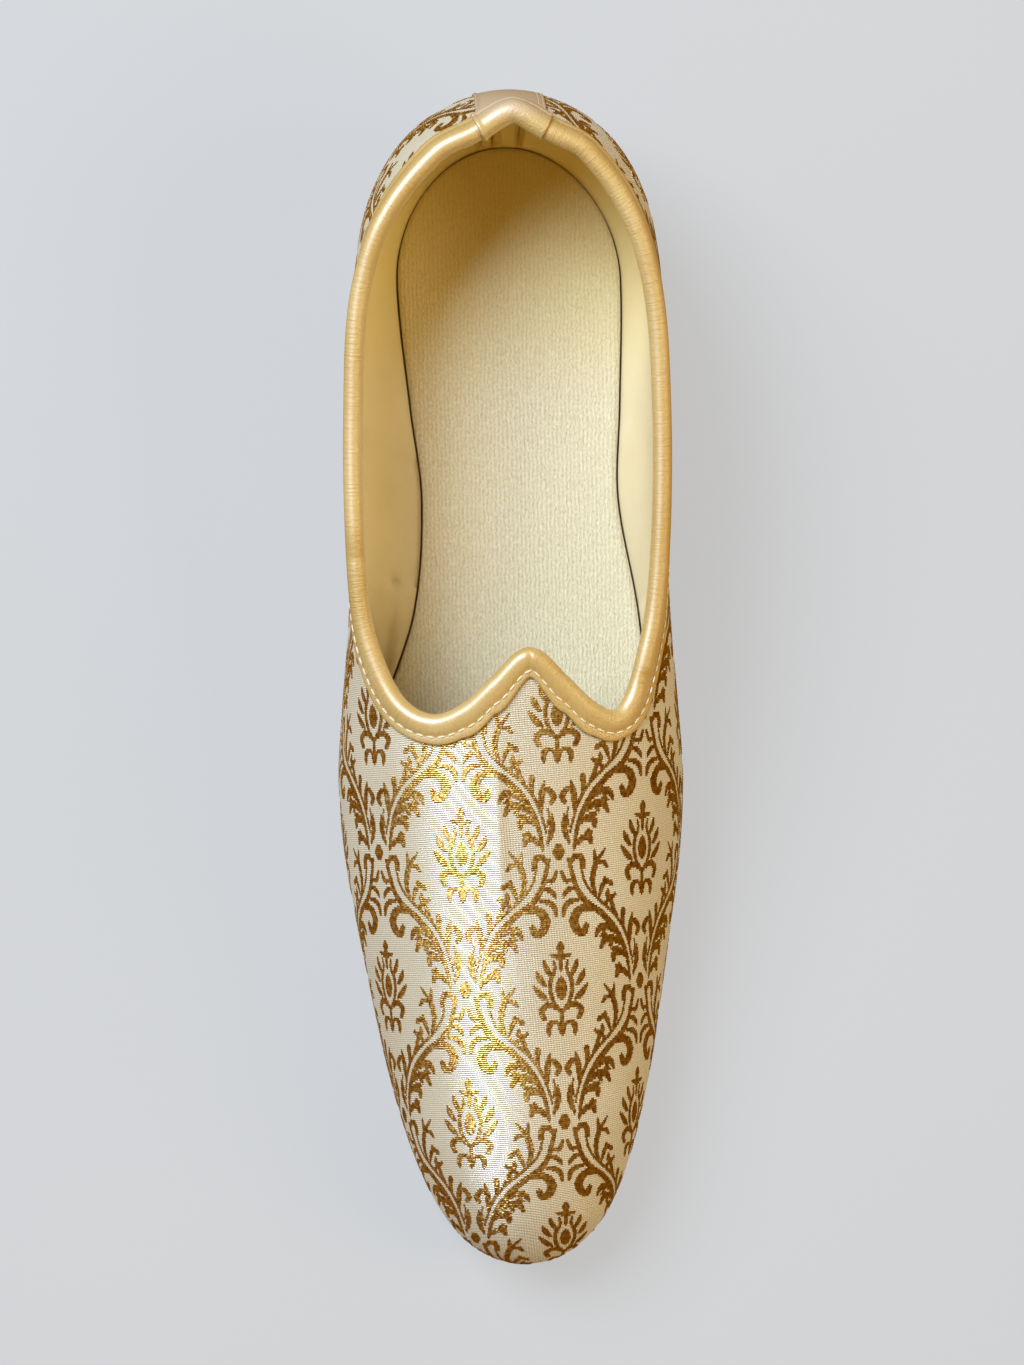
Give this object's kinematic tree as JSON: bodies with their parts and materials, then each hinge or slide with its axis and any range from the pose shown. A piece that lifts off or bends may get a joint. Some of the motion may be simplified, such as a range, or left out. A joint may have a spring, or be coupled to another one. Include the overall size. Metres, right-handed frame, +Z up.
{
  "type": "brocade slip-on shoe",
  "caption": "Left slip-on dress shoe in ivory and gold brocade with a peaked throat, rolled topline binding, back strip, felt insole and a low-heeled sole.",
  "frame": {"origin": "on the floor, under the middle of the shoe's box", "axes": "+Y from the toe to the heel, +X to the outer (lateral) side of the left foot, +Z up"},
  "size_m": [0.086, 0.2908, 0.0698],
  "materials": {
    "brocade": "woven ivory ground with a gold damask figure",
    "gold_thread": "metallic gilt weft floats",
    "gold_leatherette": "pearly pale gold, fine grain",
    "stitching": "ivory sewing thread",
    "lining": "smooth matt cream",
    "footbed_felt": "ribbed felt",
    "sole": "matt moulded"
  },
  "bodies": {
    "root": {"upper": "brocade", "topline_binding": "gold_leatherette", "heel_strip": "gold_leatherette", "insole": "footbed_felt", "outsole": "sole"}
  },
  "joints": []
}
